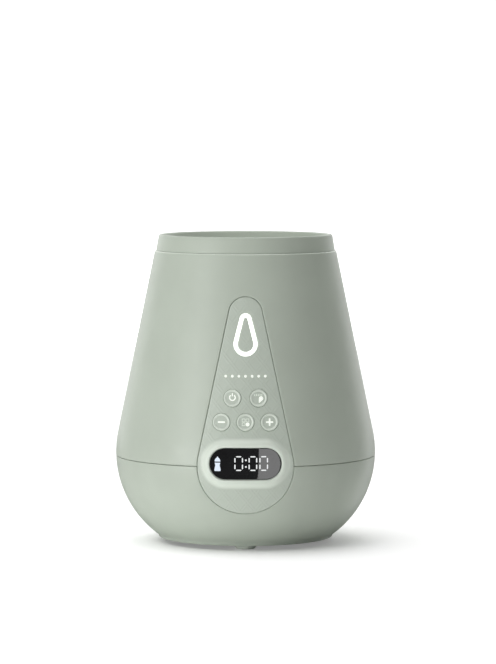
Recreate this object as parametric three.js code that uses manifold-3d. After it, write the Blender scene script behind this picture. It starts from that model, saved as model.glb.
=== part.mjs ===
// A digital bottle warmer: a pear-shaped housing round a heated well with a lift basket in it,
// and a teardrop control panel with five push keys, a light ring and a clock display.
// Millimetres, +Z up, front towards -Y. The origin is on the standing plane, on the housing's axis.

import * as THREE from "three";
import { mergeVertices } from "three/addons/utils/BufferGeometryUtils.js";
import Module from "manifold-3d";

const wasm = await Module();
wasm.setup();

// ---- Driving dimensions -------------------------------------------------------------------

const RIM_Z = 168; // overall height
const BOWL = { centreR: 15, centreZ: 49, radius: 56 }; // arc that sweeps out the lower half
const CONE_ANGLE = THREE.MathUtils.degToRad(11.6); // taper of the upper half
const WALL = 2.4; // moulded shells
const GAP = 0.3; // clearance between separate pieces

const SEAM_Z = 47.2; // upper shell meets lower shell
const COLLAR_Z = 158; // collar meets upper shell
const LOWER_RIM_Z = 3.8; // where the bowl's arc ends
const LIP = { z: 2.3, wall: 2.1 }; // short upright lip under the bowl's arc
const FOOT_HEIGHT = 2.6; // base cover's underside above the standing plane

const PANEL = { low: { z: 48, radius: 26.5 }, high: { z: 127.7, radius: 9.2 }, skin: 2.2 };
const LIGHT = { low: { z: 111.9, radius: 6.5 }, high: { z: 124.8, radius: 3.3 }, width: 2.35 };
const WINDOW = { width: 38.5, height: 17, z: 49, proud: 0.2, thickness: 1.9 };
const BEZEL = { radius: 72, reach: 3.6 }; // crest radius about the axis, and width round the window
const KEY = { radius: 4.6, proud: 0.45, travel: 0.6, flange: 1 };
const KEYS = [
  { name: "power", x: -6.95, z: 83.5 },
  { name: "defrost", x: 6.95, z: 83.5 },
  { name: "minus", x: -12.75, z: 70.9 },
  { name: "program", x: 0, z: 70.9 },
  { name: "plus", x: 12.75, z: 70.9 },
];

const WELL = { radius: 38, wall: 1.2, floorZ: 70, flangeZ: 144.3, flangeRadius: 43.4 };
const BASKET = { radius: 35.2, wall: 1.6, floorZ: 73.5, topZ: 138, earZ: 162, earWidth: 18, slots: 8 };
const CARRIER = { radius: 41, wall: 1.4, bottomZ: 64, legRadius: 3.2, legReach: 40 };
const INLET = { width: 22, height: 15, z: 36, faceY: 71.6, backY: 54, pinGap: 8.6 };
const FOOT = { radius: 6, reach: 38.6 };
const BOARD_DEPTH = 10; // control board's face behind the panel's front surface

const ROUND = 36; // segments round the housing
const MEDIUM = 28;
const SMALL = 12;
const TINY = 8;

// ---- Finishes -----------------------------------------------------------------------------

const finish = (color, roughness, metalness = 0) => ({ color, roughness, metalness });
const SAGE = finish(0xbcc5b8, 0.42);
const PALE_SAGE = finish(0xc6cec2, 0.4);
const GLOSS_BLACK = finish(0x1d1e20, 0.08);
const LIT_WHITE = finish(0xfafcf8, 0.3);
const SILICONE = finish(0xa9b3a6, 0.7);
const CLEAR_SILICONE = finish(0xd9ddd8, 0.6);
const ALUMINIUM = finish(0xc9cbcc, 0.35, 1);
const STEEL = finish(0xb0b2b4, 0.4, 1);
const BRASS = finish(0xc9a75a, 0.35, 1);
const BASKET_WHITE = finish(0xe9ece7, 0.5);
const CARRIER_GREY = finish(0x9fa5a0, 0.6);
const BOARD_GREEN = finish(0x1f5a3a, 0.5);
const BLACK_PLASTIC = finish(0x1b1b1c, 0.5);
const YELLOW_PLASTIC = finish(0xd9b21f, 0.5);
const BLUE_PLASTIC = finish(0x2c4f8f, 0.5);
const GREY_PAD = finish(0x8c8f93, 0.9);
const RED_WIRE = finish(0xa32622, 0.6);
const BLUE_WIRE = finish(0x24408c, 0.6);
const BROWN_WIRE = finish(0x5b3a22, 0.6);
const WHITE_WIRE = finish(0xe4e4e0, 0.6);

// ---- Solids -------------------------------------------------------------------------------

// A closed three.js geometry as a manifold solid, facing out whichever way it was drawn.
function solid(geometry) {
  geometry.deleteAttribute("normal");
  geometry.deleteAttribute("uv");
  const merged = mergeVertices(geometry, 1e-4);
  const index = merged.index.array;
  const make = (order) => {
    const triVerts = [];
    for (let i = 0; i < index.length; i += 3) {
      const face = order.map((k) => index[i + k]);
      if (new Set(face).size === 3) triVerts.push(...face);
    }
    return new wasm.Manifold(
      new wasm.Mesh({
        numProp: 3,
        vertProperties: new Float32Array(merged.attributes.position.array),
        triVerts: new Uint32Array(triVerts),
      }),
    );
  };
  const made = make([0, 1, 2]);
  return made.volume() < 0 ? make([0, 2, 1]) : made;
}

function geometryOf(shape) {
  const mesh = shape.getMesh();
  const positions = new Float32Array(mesh.numVert * 3);
  for (let i = 0; i < mesh.numVert; i++) {
    positions.set(mesh.vertProperties.subarray(i * mesh.numProp, i * mesh.numProp + 3), i * 3);
  }
  const geometry = new THREE.BufferGeometry();
  geometry.setAttribute("position", new THREE.BufferAttribute(positions, 3));
  geometry.setIndex(new THREE.BufferAttribute(mesh.triVerts, 1));
  geometry.computeVertexNormals();
  return geometry;
}

// Turns a closed outline of [radius, z] points round the Z axis. Its first segment edge faces -Y.
function revolve(outline, segments = ROUND) {
  const points = [...outline, outline[0]].map(([r, z]) => new THREE.Vector2(r, z));
  return solid(new THREE.LatheGeometry(points, segments).rotateX(Math.PI / 2));
}

const box = (x, y, z) => solid(new THREE.BoxGeometry(x, y, z));

const cylinder = (radius, height, segments = SMALL) =>
  solid(new THREE.CylinderGeometry(radius, radius, height, segments).rotateX(Math.PI / 2));

// A cylinder between two heights, standing at x, y.
const post = (radius, fromZ, toZ, x = 0, y = 0, segments = SMALL) =>
  cylinder(radius, toZ - fromZ, segments).translate([x, y, (fromZ + toZ) / 2]);

// A shape drawn in x and z, extruded between two y values.
function prismY(shape, fromY, toY, curveSegments = 8) {
  const options = { depth: toY - fromY, bevelEnabled: false, curveSegments };
  const geometry = new THREE.ExtrudeGeometry(shape, options);
  return solid(geometry.rotateX(Math.PI / 2).translate(0, toY, 0));
}

// A round cable through a list of points, with a step every two and a half diameters.
function tube(points, radius) {
  const path = new THREE.CatmullRomCurve3(points.map((p) => new THREE.Vector3(...p)));
  const section = new THREE.Shape().absarc(0, 0, radius, 0, 2 * Math.PI, false);
  const steps = Math.ceil(path.getLength() / (5 * radius));
  const options = { extrudePath: path, steps, curveSegments: 4 };
  return solid(new THREE.ExtrudeGeometry(section, options));
}

// The outline round two circles on the line x = 0: a teardrop standing on its wide end.
function teardrop({ low, high }, grow = 0) {
  const [lowRadius, highRadius] = [low.radius + grow, high.radius + grow];
  const lean = Math.asin((low.radius - high.radius) / (high.z - low.z));
  const shape = new THREE.Shape();
  shape.absarc(0, low.z, lowRadius, Math.PI - lean, 2 * Math.PI + lean, false);
  shape.absarc(0, high.z, highRadius, lean, Math.PI - lean, false);
  return shape;
}

// A stadium centred on x = 0 at height z.
function pill(width, height, z, grow = 0) {
  const half = (width - height) / 2;
  const shape = new THREE.Shape();
  shape.absarc(half, z, height / 2 + grow, -Math.PI / 2, Math.PI / 2, false);
  shape.absarc(-half, z, height / 2 + grow, Math.PI / 2, 1.5 * Math.PI, false);
  return shape;
}

function polygon(points) {
  return new THREE.Shape(points.map(([x, y]) => new THREE.Vector2(x, y)));
}

const union = (shapes) => shapes.reduce((all, one) => all.add(one));

// ---- The housing's surface ------------------------------------------------------------------

// Radius of the housing's surface at height z, or of the surface that lies depth below it.
function skinRadius(z, depth = 0) {
  const radius = BOWL.radius - depth;
  const coneStartZ = BOWL.centreZ + radius * Math.sin(CONE_ANGLE);
  if (z < coneStartZ) return BOWL.centreR + Math.sqrt(radius ** 2 - (z - BOWL.centreZ) ** 2);
  const coneStartR = BOWL.centreR + radius * Math.cos(CONE_ANGLE);
  return coneStartR - (z - coneStartZ) * Math.tan(CONE_ANGLE);
}

// Points up the surface at a depth: the bowl's arc in steps, then the cone's straight line.
function skinLine(fromZ, toZ, depth, steps) {
  const radius = BOWL.radius - depth;
  const coneStartZ = BOWL.centreZ + radius * Math.sin(CONE_ANGLE);
  const angleAt = (z) => Math.asin((Math.min(z, coneStartZ) - BOWL.centreZ) / radius);
  const [start, end] = [angleAt(fromZ), angleAt(toZ)];
  const line = [];
  for (let i = 0; i <= steps; i++) {
    const angle = start + ((end - start) * i) / steps;
    line.push([BOWL.centreR + radius * Math.cos(angle), BOWL.centreZ + radius * Math.sin(angle)]);
  }
  if (toZ > coneStartZ) line.push([skinRadius(toZ, depth), toZ]);
  return line;
}

const SKIN_BOTTOM_Z = 12;
const SKIN_TOP_Z = 150;
const SKIN_STEPS = 8;

// Everything inside the surface at a depth, over the heights that the panel needs.
const core = (depth) =>
  revolve([[0, SKIN_BOTTOM_Z], ...skinLine(SKIN_BOTTOM_Z, SKIN_TOP_Z, depth, SKIN_STEPS), [0, SKIN_TOP_Z]]);

const FRONT = [-90, -20]; // y range that takes in the whole front wall
const inFront = (shape) => prismY(shape, ...FRONT);

// ---- Assembly -------------------------------------------------------------------------------

const warmer = new THREE.Group();

function add(name, shape, look, parent = warmer) {
  const mesh = new THREE.Mesh(geometryOf(shape), new THREE.MeshStandardMaterial(look));
  mesh.name = name;
  parent.add(mesh);
  return mesh;
}

// The panel's frame lies on the cone at the front: x across, y inwards, z up the slope.
const SLOPE_Z = 80;
const slope = new THREE.Group();
slope.position.set(0, -skinRadius(SLOPE_Z), SLOPE_Z);
slope.rotation.x = -CONE_ANGLE;
slope.updateMatrix();
warmer.add(slope);
const toWarmer = (shape) => shape.transform(slope.matrix.elements);
const toSlope = (shape) => shape.transform(slope.matrix.clone().invert().elements);
const slopeOf = (z, depth = 0) => (z - SLOPE_Z + depth * Math.sin(CONE_ANGLE)) / Math.cos(CONE_ANGLE);

// How far the round surface falls away from the slope's flat plane at x.
function sag(x, z) {
  const r = skinRadius(z);
  return (r - Math.sqrt(r ** 2 - x ** 2)) * Math.cos(CONE_ANGLE);
}

// Housing shells

function upperShell() {
  const [ledgeZ, ledgeTopZ, ledgeR] = [140.2, 142, 44.5];
  const inner = skinLine(SEAM_Z + GAP / 2, ledgeZ, WALL, 3).reverse();
  const body = revolve([
    ...skinLine(SEAM_Z + GAP / 2, COLLAR_Z - GAP / 2, 0, 3),
    [skinRadius(COLLAR_Z, WALL), COLLAR_Z - GAP / 2],
    [skinRadius(ledgeTopZ, WALL), ledgeTopZ],
    [ledgeR, ledgeTopZ],
    [ledgeR, ledgeZ],
    ...inner,
  ]);
  return body.subtract(inFront(teardrop(PANEL)));
}

function lowerShell() {
  const topZ = SEAM_Z - GAP / 2;
  const lipR = skinRadius(LOWER_RIM_Z);
  const body = revolve([
    [lipR, LIP.z],
    ...skinLine(LOWER_RIM_Z, topZ, 0, 9),
    ...skinLine(LOWER_RIM_Z, topZ, WALL, 6).reverse(),
    [lipR - LIP.wall, LOWER_RIM_Z],
    [lipR - LIP.wall, LIP.z],
  ]);
  const [tongueDepth, tongueFoot, tongueTop] = [WALL + GAP, SEAM_Z - 5, SEAM_Z + 3];
  const tongue = revolve([
    [skinRadius(tongueFoot, WALL - 0.2), tongueFoot],
    [skinRadius(topZ, WALL - 0.2), topZ],
    [skinRadius(topZ, tongueDepth), topZ],
    [skinRadius(tongueTop, tongueDepth), tongueTop],
    [skinRadius(tongueTop, tongueDepth + 1.3), tongueTop],
    [skinRadius(tongueFoot, tongueDepth + 1.3), tongueFoot],
  ]);
  const panelRoom = inFront(teardrop(PANEL, 3.2));
  const inletHole = box(INLET.width + 2 * GAP, 40, INLET.height + 2 * GAP);
  return body
    .subtract(inFront(teardrop(PANEL)))
    .add(tongue.subtract(panelRoom))
    .subtract(inletHole.translate([0, INLET.faceY, INLET.z]));
}

function topCollar() {
  const bottomZ = COLLAR_Z + GAP / 2;
  return revolve([
    [39.6, 147.9],
    [41.8, 147.9],
    [45.2, bottomZ],
    [skinRadius(bottomZ), bottomZ],
    [skinRadius(RIM_Z - 0.9), RIM_Z - 0.9],
    [skinRadius(RIM_Z) - 0.6, RIM_Z],
    [skinRadius(RIM_Z) - 1.8, RIM_Z],
    [skinRadius(RIM_Z) - 2.4, RIM_Z - 0.9],
  ]);
}

const RAY = (degrees) => {
  const a = THREE.MathUtils.degToRad(degrees);
  return [Math.cos(a), Math.sin(a)];
};
const FOOT_PLACES = { front_foot: -90, rear_right_foot: 30, rear_left_foot: 150 };
const LEG_PLACES = [90, 210, 330];
const BOARD = { width: 58, depth: 50, z: 12, thickness: 1.6 };
const BOARD_POSTS = [
  [-25, -21],
  [25, -21],
  [-25, 21],
  [25, 21],
];

function baseCover() {
  const [flangeTopZ, topZ] = [LOWER_RIM_Z - GAP, 5.4];
  const flangeR = skinRadius(LOWER_RIM_Z) - LIP.wall - GAP;
  let cover = revolve([
    [0, FOOT_HEIGHT],
    [flangeR, FOOT_HEIGHT],
    [flangeR, flangeTopZ],
    [43.2, flangeTopZ],
    [43.2, topZ],
    [0, topZ],
  ]);
  for (const degrees of Object.values(FOOT_PLACES)) {
    const [x, y] = RAY(degrees).map((v) => v * FOOT.reach);
    cover = cover.subtract(post(FOOT.radius + GAP, 0, FOOT_HEIGHT + 0.7, x, y, 24));
  }
  for (const degrees of LEG_PLACES) {
    const [x, y] = RAY(degrees).map((v) => v * CARRIER.legReach);
    cover = cover.subtract(post(3.4, 0, 4.6, x, y)).subtract(post(1.7, 0, 10, x, y, TINY));
  }
  for (const x of [-16, -12, -8, -4, 0, 4, 8, 12, 16]) {
    cover = cover.subtract(box(2, 24 - Math.abs(x) / 2, 10).translate([x, 0, 5]));
  }
  const posts = BOARD_POSTS.flatMap(([x, y]) => [
    post(2.6, topZ - 0.2, BOARD.z - GAP, x, y, TINY),
    post(1.1, topZ, BOARD.z + BOARD.thickness + 1, x, y, TINY),
  ]);
  return union([cover, ...posts]);
}

function foot() {
  const [height, r] = [FOOT_HEIGHT + 0.4, FOOT.radius];
  return revolve([[0, 0], [r - 1.3, 0], [r - 0.4, 0.4], [r, 1.3], [r, height], [0, height]], 18);
}

// A countersunk-length screw standing on its head, with a plain shank.
function screw(headRadius, headHeight, shankRadius, length) {
  return post(headRadius, 0, headHeight, 0, 0, 12)
    .add(post(shankRadius, headHeight - 0.2, headHeight + length, 0, 0, TINY))
    .subtract(box(headRadius * 1.4, 0.8, 1.2))
    .subtract(box(0.8, headRadius * 1.4, 1.2));
}

add("upper_shell", upperShell(), SAGE);
add("lower_shell", lowerShell(), SAGE);
add("top_collar", topCollar(), SAGE);
add("base_cover", baseCover(), SAGE);
for (const [name, degrees] of Object.entries(FOOT_PLACES)) {
  const [x, y] = RAY(degrees);
  add(name, foot(), SILICONE).position.set(x * FOOT.reach, y * FOOT.reach, 0);
}
LEG_PLACES.forEach((degrees, i) => {
  const [x, y] = RAY(degrees);
  const place = [x * CARRIER.legReach, y * CARRIER.legReach, FOOT_HEIGHT + 0.2];
  add(`base_screw_${i + 1}`, screw(3, 1.5, 1.3, 9), STEEL).position.set(...place);
});

// Control panel: the skin inside the teardrop, a flange behind the shells, and a raised bezel

const LEG_SPOTS = [
  [0, 126.9],
  [-4.9, 109.6],
  [4.9, 109.6],
];
const lightLeg = (radius, from, to) =>
  LEG_SPOTS.map(([x, z]) =>
    cylinder(radius, to - from, TINY)
      .rotate([90, 0, 0])
      .translate([x, (from + to) / 2, slopeOf(z)]),
  );

function controlPanel() {
  const [flangeFront, flangeBack] = [WALL + GAP, WALL + GAP + 1.2];
  const plug = inFront(teardrop(PANEL, -GAP));
  const hollow = inFront(teardrop(PANEL, -2.2));
  const skin = core(0).subtract(core(PANEL.skin)).intersect(plug);
  const edge = core(0).subtract(core(flangeBack)).intersect(plug).subtract(hollow);
  const flange = core(flangeFront)
    .subtract(core(flangeBack))
    .intersect(inFront(teardrop(PANEL, 2.4)))
    .subtract(hollow);
  const { width, height, z } = WINDOW;
  const tier = (radius, reach) =>
    post(radius, z - height, z + height, 0, 0, ROUND)
      .subtract(core(3.4))
      .intersect(inFront(pill(width, height, z, reach)));
  const bezel = tier(BEZEL.radius - 0.6, BEZEL.reach).add(tier(BEZEL.radius, BEZEL.reach - 1.4));
  const recess = inFront(pill(width, height, z)).subtract(core(WINDOW.thickness + 0.1));
  const through = inFront(pill(width, height, z, -1.5));
  const groove = inFront(teardrop(LIGHT))
    .subtract(inFront(teardrop(LIGHT, -LIGHT.width)))
    .subtract(core(1.4));
  const holes = KEYS.map((key) =>
    cylinder(KEY.radius + GAP, 20, 18).rotate([90, 0, 0]).translate([key.x, 0, slopeOf(key.z)]),
  );
  return union([skin, edge, flange, bezel])
    .subtract(recess)
    .subtract(through)
    .subtract(groove)
    .subtract(toWarmer(union([...holes, ...lightLeg(1, 0, 10)])));
}

function displayWindow() {
  const { width, height, z, proud, thickness } = WINDOW;
  return core(-proud).subtract(core(thickness - GAP)).intersect(inFront(pill(width, height, z, -0.2)));
}

function lightGuide() {
  const inset = 0.15;
  const ring = inFront(teardrop(LIGHT, -inset)).subtract(inFront(teardrop(LIGHT, inset - LIGHT.width)));
  const band = core(-0.1).subtract(core(1.2)).intersect(ring);
  return band.add(toWarmer(union(lightLeg(0.7, 0.9, BOARD_DEPTH - 2))));
}

add("control_panel", controlPanel(), PALE_SAGE);
add("display_window", displayWindow(), GLOSS_BLACK);
add("light_guide", lightGuide(), LIT_WHITE);

// Push keys: a cap that follows the panel's surface, a flange behind the panel, and a stem

const SWITCH = { size: 6, height: 2.5 };
const STEM_END = BOARD_DEPTH - SWITCH.height - KEY.travel - GAP;

function keyShape({ x, z }) {
  const alongY = (radius, from, to, segments) =>
    cylinder(radius, to - from, segments).rotate([90, 0, 0]).translate([0, (from + to) / 2, 0]);
  const surface = toSlope(core(-KEY.proud)).translate([-x, 0, -slopeOf(z)]);
  const flangeRadius = KEY.radius + KEY.flange;
  const flangeFront = PANEL.skin + sag(Math.abs(x) + flangeRadius, z) + 1.5 * GAP;
  const cap = alongY(KEY.radius, -3, flangeFront + 0.1, 18).intersect(surface);
  const flange = alongY(flangeRadius, flangeFront, flangeFront + 0.8, 18);
  return union([cap, flange, alongY(1.8, flangeFront, STEM_END, SMALL)]);
}

for (const key of KEYS) {
  const { name, x, z } = key;
  add(`${name}_key`, keyShape(key), PALE_SAGE, slope).position.set(x, 0, slopeOf(z));
  const tactSwitch = box(SWITCH.size, SWITCH.height - GAP, SWITCH.size);
  const middle = BOARD_DEPTH - GAP - (SWITCH.height - GAP) / 2;
  add(`${name}_switch`, tactSwitch, BLACK_PLASTIC, slope).position.set(x, middle, slopeOf(z));
}

// Boards behind the panel

const CONTROL_BOARD = { thickness: 1.6, bottomZ: 65.5, topZ: 127, bottomHalf: 20, topHalf: 9 };

function controlBoard() {
  const { thickness, bottomZ, topZ, bottomHalf, topHalf } = CONTROL_BOARD;
  const [low, high] = [slopeOf(bottomZ, BOARD_DEPTH), slopeOf(topZ, BOARD_DEPTH)];
  const outline = polygon([[-bottomHalf, low], [bottomHalf, low], [topHalf, high], [-topHalf, high]]);
  return prismY(outline, BOARD_DEPTH, BOARD_DEPTH + thickness);
}

add("control_board", controlBoard(), BOARD_GREEN, slope);
LEG_SPOTS.forEach(([x, z], i) => {
  const led = add(`light_led_${i + 1}`, box(2.8, 1.1, 2.8), LIT_WHITE, slope);
  led.position.set(x, BOARD_DEPTH - GAP - 0.55, slopeOf(z));
});
add("display_module", box(32, 6, 12), BLACK_PLASTIC).position.set(0, -61.8, WINDOW.z);
add("display_board", box(38, 1.6, 19), BOARD_GREEN).position.set(0, -57.7, WINDOW.z);

// Heated well, its seal, and the carrier that hangs it in the housing

function heatingWell() {
  const { radius, wall, floorZ, flangeZ, flangeRadius } = WELL;
  const bend = 5;
  return revolve(
    [
      [0, floorZ],
      [radius - bend, floorZ],
      [radius + wall - 1.6, floorZ + 1.6],
      [radius + wall, floorZ + bend],
      [radius + wall, flangeZ],
      [flangeRadius, flangeZ],
      [flangeRadius, flangeZ + 1.4],
      [radius, flangeZ + 1.4],
      [radius, floorZ + bend + 0.6],
      [radius - 1.6, floorZ + wall + 1.8],
      [radius - bend, floorZ + wall],
      [0, floorZ + wall],
    ],
    ROUND,
  );
}

function wellCarrier() {
  const { radius, wall, bottomZ, legRadius, legReach } = CARRIER;
  const [flangeZ, flangeTopZ, flangeRadius] = [142.3, 144, 46.5];
  const sleeve = revolve([
    [radius, bottomZ],
    [radius + wall, bottomZ],
    [radius + wall, flangeZ],
    [flangeRadius, flangeZ],
    [flangeRadius, flangeTopZ],
    [radius, flangeTopZ],
  ]);
  const bore = post(WELL.radius + WELL.wall + 1, bottomZ, 200, 0, 0, ROUND);
  let carrier = sleeve;
  for (const degrees of LEG_PLACES) {
    const [x, y] = RAY(degrees).map((v) => v * legReach);
    const leg = post(legRadius, 5.7, bottomZ + 12, x, y).subtract(bore);
    carrier = carrier.add(leg.subtract(post(1.6, 0, 18, x, y, TINY)));
  }
  for (const side of [-1, 1]) {
    const lug = box(9, 12, 4.5).translate([side * 38, 0, 62.75]);
    carrier = carrier.add(lug.subtract(post(1.3, 0, 80, side * 36.5, 0, TINY)));
  }
  return carrier;
}

const sealRing = revolve([[39.7, 146], [43.2, 146], [42.2, 147.6], [39.7, 147.6]], MEDIUM);

function liftBasket() {
  const { radius, wall, floorZ, topZ, earZ, earWidth, slots } = BASKET;
  const outer = radius + wall;
  const cup = revolve([
    [0, floorZ],
    [29, floorZ],
    [29, floorZ - 1.5],
    [31, floorZ - 1.5],
    [31, floorZ],
    [outer - 3, floorZ],
    [outer, floorZ + 3],
    [outer, earZ],
    [radius, earZ],
    [radius, floorZ + 4],
    [radius - 2.4, floorZ + 1.8],
    [0, floorZ + 1.8],
  ]);
  const earRoom = box(100, earWidth, 100).translate([0, 0, topZ]);
  let basket = cup.subtract(post(60, topZ, RIM_Z).subtract(earRoom));
  for (let i = 0; i < slots; i++) {
    const slot = box(20, 13, 44).translate([radius, 0, 104]);
    const drain = post(3, 60, 90, 21, 0, TINY);
    basket = basket.subtract(slot.add(drain).rotate([0, 0, ((i + 0.5) * 360) / slots]));
  }
  for (const side of [-1, 1]) {
    const lip = box(3.8, earWidth, 1.6).translate([side * (radius + 1.5), 0, earZ - 0.8]);
    basket = basket.add(lip);
  }
  return basket;
}

add("heating_well", heatingWell(), ALUMINIUM);
add("well_seal", sealRing, CLEAR_SILICONE);
add("well_carrier", wellCarrier(), CARRIER_GREY);
add("lift_basket", liftBasket(), BASKET_WHITE);

// Heater under the well's floor

const SENSOR = { radius: 3, y: 18 };
const HEATER_PLATE_Z = { bottom: 64, step: 66, top: 69 };
const sensorHole = post(SENSOR.radius + GAP, 50, 80, 0, SENSOR.y);

function heaterPlate() {
  const { bottom, step, top } = HEATER_PLATE_Z;
  return revolve([[0, bottom], [26, bottom], [26, step], [31, step], [31, top], [0, top]], MEDIUM).subtract(
    sensorHole,
  );
}

// A sprung steel strap, bent up in the middle to press the heater against the well.
function heaterClamp() {
  const outline = [[-40, 59], [-30, 59], [-22, 62.4], [22, 62.4], [30, 59], [40, 59]];
  const back = outline.map(([x, z]) => [x, z + 1.2]).reverse();
  const strap = prismY(polygon([...outline, ...back]), -7, 7);
  const holes = [-36.5, 36.5].map((x) => post(1.3, 50, 70, x, 0, TINY));
  return strap.subtract(union(holes));
}

function thermalCutout() {
  const body = post(7.5, 56.5, 63.7, 0, -18);
  const tabs = [-4, 4].map((x) => box(4.8, 0.8, 6.5).translate([x, -18, 53.4]));
  return union([body, ...tabs]);
}

add("thermal_pad", post(31, 69.3, 69.7, 0, 0, MEDIUM).subtract(sensorHole), GREY_PAD);
add("heater_plate", heaterPlate(), ALUMINIUM);
add("heater_clamp", heaterClamp(), STEEL);
[-1, 1].forEach((side, i) => {
  add(`clamp_screw_${i + 1}`, screw(2.4, 1.2, 1, 5), STEEL).position.set(side * 36.5, 0, 57.5);
});
add("temperature_sensor", post(SENSOR.radius, 60, 69.7, 0, SENSOR.y, 12), STEEL);
add("thermal_cutout", thermalCutout(), BLACK_PLASTIC);
for (const [name, side] of [["live", 1], ["neutral", -1]]) {
  const spade = box(6.3, 0.8, 8.2);
  add(`heater_terminal_${name}`, spade, BRASS).position.set(side * 14, 14, 59.6);
}

// Power board and what is on it

const ON_BOARD = BOARD.z + BOARD.thickness + GAP;
const lying = (radius, length) => cylinder(radius, length, 12).rotate([0, 90, 0]);
const MOUNTED = [
  ["transformer", box(22, 20, 18), [-12, 8], 18, YELLOW_PLASTIC],
  ["heater_relay", box(19, 15, 15), [13, 12], 15, BLACK_PLASTIC],
  ["suppression_capacitor", box(18, 8, 14), [14, -6], 14, BLUE_PLASTIC],
  ["bulk_capacitor", cylinder(5, 16, 12), [-20, -12], 16, BLACK_PLASTIC],
  ["fuse", lying(2.6, 16), [-5, -14], 5.2, CLEAR_SILICONE],
  ["mains_terminal", box(18, 4.4, 9), [0, 22.3], 9, BASKET_WHITE],
  ["buzzer", cylinder(5, 6, 12), [19, -17], 6, BLACK_PLASTIC],
  ["ribbon_header", box(14, 5, 8), [0, -21], 8, WHITE_WIRE],
];

const stakeHoles = BOARD_POSTS.map(([x, y]) => post(1.5, -5, 5, x, y, TINY));
const powerBoard = box(BOARD.width, BOARD.depth, BOARD.thickness).subtract(union(stakeHoles));
add("power_board", powerBoard, BOARD_GREEN).position.z = BOARD.z + BOARD.thickness / 2;
for (const [name, shape, [x, y], height, look] of MOUNTED) {
  add(name, shape, look).position.set(x, y, ON_BOARD + height / 2);
}

// Mains inlet at the back: a two-pin recess for a detachable lead

function powerInlet() {
  const { width, height, faceY, backY } = INLET;
  const rimProud = 0.5;
  const rough = box(width, faceY - backY, height).translate([0, (faceY + backY) / 2, 0]);
  const housing = rough.intersect(core(-rimProud).translate([0, 0, -INLET.z]));
  const recess = prismY(pill(14.4, 8.2, 0), faceY - 12.5, faceY + 5);
  const pinHoles = [-1, 1].map((side) =>
    cylinder(1.2 + GAP, 30, 12).rotate([90, 0, 0]).translate([(side * INLET.pinGap) / 2, faceY - 20, 0]),
  );
  return housing.subtract(recess).subtract(union(pinHoles));
}

add("power_inlet", powerInlet(), BLACK_PLASTIC).position.z = INLET.z;
for (const [name, side] of [["live", 1], ["neutral", -1]]) {
  const pin = cylinder(1.2, 19, 12).rotate([90, 0, 0]);
  const place = [(side * INLET.pinGap) / 2, INLET.faceY - 13.5, INLET.z];
  add(`inlet_pin_${name}`, pin, BRASS).position.set(...place);
}

// Wiring inside the housing

const pinBackY = INLET.faceY - 23 - 3 * GAP;
const inletWire = (side) =>
  tube(
    [
      [side * 4.3, pinBackY, 36],
      [side * 6.4, 44, 34.4],
      [side * 8.6, 38, 27],
      [side * 7.4, 31, 21],
      [side * 6, 25.6, 19],
    ],
    1.1,
  );
const heaterWire = (side) =>
  tube(
    [
      [side * 26, -2, ON_BOARD + GAP],
      [side * 27, 0, 26],
      [side * 25, 6, 38],
      [side * 18, 12, 48],
      [side * 14, 14, 54.6],
    ],
    1.2,
  );
const sensorWire = tube(
  [
    [0, 18, 59.4],
    [0, 20, 52],
    [4, 12, 42],
    [6, -4, 35],
    [5, -16, 30],
    [4, -21, 22.8],
  ],
  0.9,
);

function ribbonCable() {
  const path = new THREE.CatmullRomCurve3(
    [
      [-20.5, 22.6],
      [-25, 34],
      [-38, 45],
      [-49, 55],
      [-53.5, 68],
    ].map(([y, z]) => new THREE.Vector3(-3, y, z)),
  );
  const [halfWidth, halfThickness] = [4, 0.5];
  const side = (offset, k) => {
    const t = path.getTangentAt(k);
    const p = path.getPointAt(k);
    return [p.y + t.z * offset, p.z - t.y * offset];
  };
  const steps = 10;
  const ks = Array.from({ length: steps + 1 }, (_, i) => i / steps);
  const outline = [
    ...ks.map((k) => side(halfThickness, k)),
    ...ks.reverse().map((k) => side(-halfThickness, k)),
  ];
  const options = { depth: 2 * halfWidth, bevelEnabled: false };
  const flat = new THREE.ExtrudeGeometry(polygon(outline), options);
  // The outline is drawn in y and z, so its own x and y turn into y and z, and its depth into x.
  const turn = new THREE.Matrix4().makeBasis(
    new THREE.Vector3(0, 1, 0),
    new THREE.Vector3(0, 0, 1),
    new THREE.Vector3(1, 0, 0),
  );
  return solid(flat.applyMatrix4(turn)).translate([-3 - halfWidth, 0, 0]);
}

add("inlet_wire_live", inletWire(1), BROWN_WIRE);
add("inlet_wire_neutral", inletWire(-1), BLUE_WIRE);
add("heater_wire_live", heaterWire(1), RED_WIRE);
add("heater_wire_neutral", heaterWire(-1), WHITE_WIRE);
add("sensor_wire", sensorWire, WHITE_WIRE);
add("ribbon_cable", ribbonCable(), WHITE_WIRE);

export default warmer;
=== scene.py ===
"""The looks of a bottle warmer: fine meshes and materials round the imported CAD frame.

Lengths in this file are millimetres until a mesh is made, which is in metres. The row frame has +Z up
and the control panel towards -Y.
"""

from math import acos, asin, atan2, ceil, cos, hypot, pi, radians, sin, sqrt, tan

import bmesh
import bpy
import numpy
from mathutils import Matrix, Vector
from mathutils.geometry import delaunay_2d_cdt


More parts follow.
